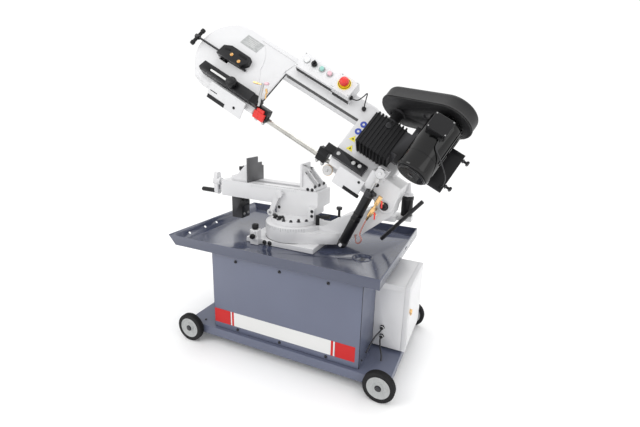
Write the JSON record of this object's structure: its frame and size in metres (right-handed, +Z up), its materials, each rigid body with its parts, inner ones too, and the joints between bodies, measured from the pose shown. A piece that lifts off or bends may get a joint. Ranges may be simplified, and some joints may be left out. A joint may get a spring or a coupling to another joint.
{
  "type": "band saw",
  "caption": "Horizontal metal-cutting band saw on a wheeled cabinet with a drip tray, a swivelling raised bow, a vise, a belt-and-worm drive and a hydraulic lift cylinder.",
  "frame": {"origin": "point on the floor under the middle of the whole machine", "axes": "+X to the right of a person facing the front, along the cabinet; +Y to the back; +Z up"},
  "size_m": [1.3448, 0.6635, 1.3962],
  "materials": {
    "blue_grey_paint": "satin",
    "white_paint": "satin",
    "black_paint": "satin",
    "dark_casting": "matte",
    "gearbox_casting": "matte",
    "white_casting": "satin",
    "tank_paint": "satin",
    "motor_paint": "gloss",
    "steel": "satin",
    "blade_steel": "satin",
    "chrome_rod": "polished",
    "brass": "satin",
    "tyre_rubber": "matte",
    "belt_rubber": "matte",
    "red_plastic": "gloss",
    "green_plastic": "gloss",
    "pink_plastic": "gloss",
    "black_plastic": "matte",
    "white_plastic": "satin",
    "clear_hose": "gloss",
    "cable_sheath": "satin"
  },
  "bodies": {
    "stand": {"base_platform": "blue_grey_paint", "cabinet_shell": "blue_grey_paint", "cabinet_front_panel": "blue_grey_paint", "drip_tray": "blue_grey_paint", "control_box": "white_paint", "coolant_tank": "tank_paint", "bed_base": "white_casting", "vise_bed": "white_casting", "fixed_jaw": "white_paint", "bed_support_block": "black_paint", "box_cable_upper": "cable_sheath", "box_cable_lower": "cable_sheath"},
    "front_left_wheel": {"wheel_front_left": "tyre_rubber"},
    "rear_left_wheel": {"wheel_rear_left": "tyre_rubber"},
    "front_right_wheel": {"wheel_front_right": "tyre_rubber"},
    "rear_right_wheel": {"wheel_rear_right": "tyre_rubber"},
    "box_door": {"control_box_door": "white_paint"},
    "box_latch": {"door_latch": "brass"},
    "jaw": {"moving_jaw": "white_paint", "moving_jaw_plate": "dark_casting"},
    "jaw_lever": {"jaw_clamp_lever": "black_paint"},
    "crank": {"lead_screw_crank": "white_casting"},
    "work_stop": {"work_stop_arm": "white_casting"},
    "swivel": {"swivel_arm": "white_casting", "support_bar": "black_paint", "spring_canister": "black_paint", "coolant_taps": "brass", "coolant_hose": "clear_hose"},
    "swivel_lock": {"swivel_lock_lever": "black_plastic"},
    "stop_pin": {"swivel_stop_pin": "steel"},
    "cylinder": {"lift_cylinder": "black_paint"},
    "piston_rod": {"lift_rod": "chrome_rod"},
    "bow": {"bow_frame": "white_casting", "worm_gearbox": "gearbox_casting", "motor": "motor_paint", "motor_mount": "black_paint", "belt_cover_base": "black_paint", "belt_cover": "black_paint", "drive_belt": "belt_rubber", "control_panel": "white_plastic", "stop_switch_box": "white_plastic", "stop_switch_cable": "cable_sheath", "motor_lead": "cable_sheath", "saw_blade": "blade_steel", "right_guide_arm": "black_paint"},
    "wheel_cover": {"rear_wheel_cover": "white_paint"},
    "drive_band_wheel": {"drive_wheel": "steel"},
    "tension_block": {"tension_slide": "black_paint"},
    "idler_band_wheel": {"idler_wheel": "steel"},
    "tension_grip": {"tension_handle": "black_paint"},
    "worm_shaft": {"worm_pulley": "steel"},
    "motor_shaft": {"motor_pulley": "steel"},
    "blade_guide": {"left_guide_arm": "black_paint", "left_blade_guard": "white_paint"},
    "guide_knob": {"guide_arm_knob": "black_plastic"},
    "brush": {"chip_brush": "steel"},
    "selector": {"selector_switch": "black_plastic"},
    "start": {"start_button": "green_plastic"},
    "stop": {"stop_button": "pink_plastic"},
    "emergency": {"emergency_stop": "red_plastic"}
  },
  "joints": [
    {"name": "front_left_wheel_spin", "type": "hinge", "parent": "stand", "child": "front_left_wheel", "pos_m": [-0.418, -0.3125, 0.0625], "axis": [0, 1, 0], "continuous": true},
    {"name": "front_right_wheel_spin", "type": "hinge", "parent": "stand", "child": "front_right_wheel", "pos_m": [0.458, -0.3125, 0.0625], "axis": [0, 1, 0], "continuous": true},
    {"name": "rear_left_wheel_spin", "type": "hinge", "parent": "stand", "child": "rear_left_wheel", "pos_m": [-0.418, 0.2405, 0.0625], "axis": [0, 1, 0], "continuous": true},
    {"name": "rear_right_wheel_spin", "type": "hinge", "parent": "stand", "child": "rear_right_wheel", "pos_m": [0.458, 0.2405, 0.0625], "axis": [0, 1, 0], "continuous": true},
    {"name": "box_door_hinge", "type": "hinge", "parent": "stand", "child": "box_door", "pos_m": [0.485, 0.154, 0.2325], "axis": [0, 0, 1], "range_deg": [0, 110]},
    {"name": "box_latch_turn", "type": "hinge", "parent": "box_door", "child": "box_latch", "pos_m": [0.5053, -0.088, 0.262], "axis": [1, 0, 0], "range_deg": [0, 90]},
    {"name": "crank_turn", "type": "hinge", "parent": "stand", "child": "crank", "pos_m": [-0.495, 0.086, 0.64], "axis": [1, 0, 0], "range_deg": [0, 15840]},
    {"name": "jaw_slide", "type": "slide", "parent": "stand", "child": "jaw", "axis": [1, 0, 0], "range_m": [0, 0.265]},
    {"name": "jaw_lever_turn", "type": "hinge", "parent": "jaw", "child": "jaw_lever", "pos_m": [-0.4263, 0.086, 0.6803], "axis": [0, 0, 1], "range_deg": [-90, 60]},
    {"name": "work_stop_turn", "type": "hinge", "parent": "stand", "child": "work_stop", "pos_m": [-0.158, 0.0177, 0.64], "axis": [0, 1, 0], "range_deg": [0, 90]},
    {"name": "swivel_turn", "type": "hinge", "parent": "stand", "child": "swivel", "pos_m": [-0.074, 0.006, 0.461], "axis": [0, 0, 1], "range_deg": [0, 45]},
    {"name": "swivel_lock_turn", "type": "hinge", "parent": "swivel", "child": "swivel_lock", "pos_m": [0.047, -0.008, 0.5283], "axis": [0, 0, 1], "range_deg": [-40, 40]},
    {"name": "stop_pin_lift", "type": "slide", "parent": "swivel", "child": "stop_pin", "axis": [0, 0, 1], "range_m": [0, 0.015], "stiffness_N_per_m": 400},
    {"name": "bow_lift", "type": "hinge", "parent": "swivel", "child": "bow", "pos_m": [0.357, -0.036, 0.667], "axis": [0, 1, 0], "range_deg": [-27, 18]},
    {"name": "lift_cylinder_tilt", "type": "hinge", "parent": "swivel", "child": "cylinder", "pos_m": [0.192, -0.064, 0.487], "axis": [0, 1, 0], "range_deg": [-9, 6.5]},
    {"name": "piston_rod_travel", "type": "slide", "parent": "cylinder", "child": "piston_rod", "axis": [0.4227, 0, 0.9063], "range_m": [-0.04, 0.03]},
    {"name": "rear_cover_hinge", "type": "hinge", "parent": "bow", "child": "wheel_cover", "pos_m": [-0.06652, 0.23072, 1.15741], "axis": [0.891, 0, -0.454], "range_deg": [0, 100]},
    {"name": "motor_shaft_spin", "type": "hinge", "parent": "bow", "child": "motor_shaft", "pos_m": [0.56616, -0.015, 1.00481], "axis": [0.3764, 0.5592, 0.7387], "continuous": true},
    {"name": "worm_shaft_spin", "type": "hinge", "parent": "bow", "child": "worm_shaft", "pos_m": [0.35953, 0.08946, 1.03101], "axis": [0.3764, 0.5592, 0.7387], "continuous": true},
    {"name": "drive_wheel_spin", "type": "hinge", "parent": "bow", "child": "drive_band_wheel", "pos_m": [0.2447, 0.08104, 0.83868], "axis": [0.2539, -0.829, 0.4982], "continuous": true},
    {"name": "tension_grip_turn", "type": "hinge", "parent": "bow", "child": "tension_grip", "pos_m": [-0.61931, 0.043, 1.32802], "axis": [0.891, 0, -0.454], "range_deg": [-722, 0]},
    {"name": "tension_block_slide", "type": "slide", "parent": "bow", "child": "tension_block", "axis": [-0.891, 0, 0.454], "range_m": [-0.003, 0]},
    {"name": "idler_wheel_spin", "type": "hinge", "parent": "tension_block", "child": "idler_band_wheel", "pos_m": [-0.48478, 0.08104, 1.21037], "axis": [0.2539, -0.829, 0.4982], "continuous": true},
    {"name": "blade_guide_slide", "type": "slide", "parent": "bow", "child": "blade_guide", "axis": [0.891, 0, -0.454], "range_m": [0, 0.12]},
    {"name": "guide_knob_turn", "type": "hinge", "parent": "bow", "child": "guide_knob", "pos_m": [-0.36583, -0.04502, 1.12065], "axis": [0.2539, -0.829, 0.4982], "range_deg": [-180, 0]},
    {"name": "chip_brush_spin", "type": "hinge", "parent": "bow", "child": "brush", "pos_m": [0.0976, -0.036, 0.78346], "axis": [0, 1, 0], "continuous": true},
    {"name": "selector_turn", "type": "hinge", "parent": "bow", "child": "selector", "pos_m": [-0.04775, 0.11819, 1.21408], "axis": [0.2539, -0.829, 0.4982], "range_deg": [-45, 45]},
    {"name": "start_press", "type": "slide", "parent": "bow", "child": "start", "axis": [-0.2539, 0.829, -0.4982], "range_m": [0, 0.003], "stiffness_N_per_m": 300},
    {"name": "stop_press", "type": "slide", "parent": "bow", "child": "stop", "axis": [-0.2539, 0.829, -0.4982], "range_m": [0, 0.003], "stiffness_N_per_m": 300},
    {"name": "emergency_press", "type": "slide", "parent": "bow", "child": "emergency", "axis": [-0.2539, 0.829, -0.4982], "range_m": [0, 0.006], "stiffness_N_per_m": 500}
  ],
  "couplings": [
    {"joint": "jaw_slide", "follows": "crank_turn", "m_per_rad": 0.00095493},
    {"joint": "lift_cylinder_tilt", "follows": "bow_lift", "ratio": 0.315},
    {"joint": "piston_rod_travel", "follows": "bow_lift", "m_per_rad": 0.078},
    {"joint": "worm_shaft_spin", "follows": "motor_shaft_spin", "ratio": 0.51724},
    {"joint": "drive_wheel_spin", "follows": "motor_shaft_spin", "ratio": 0.02069},
    {"joint": "idler_wheel_spin", "follows": "motor_shaft_spin", "ratio": 0.02069},
    {"joint": "chip_brush_spin", "follows": "motor_shaft_spin", "ratio": 0.10815},
    {"joint": "tension_grip_turn", "follows": "tension_block_slide", "rad_per_m": 4188.8}
  ]
}
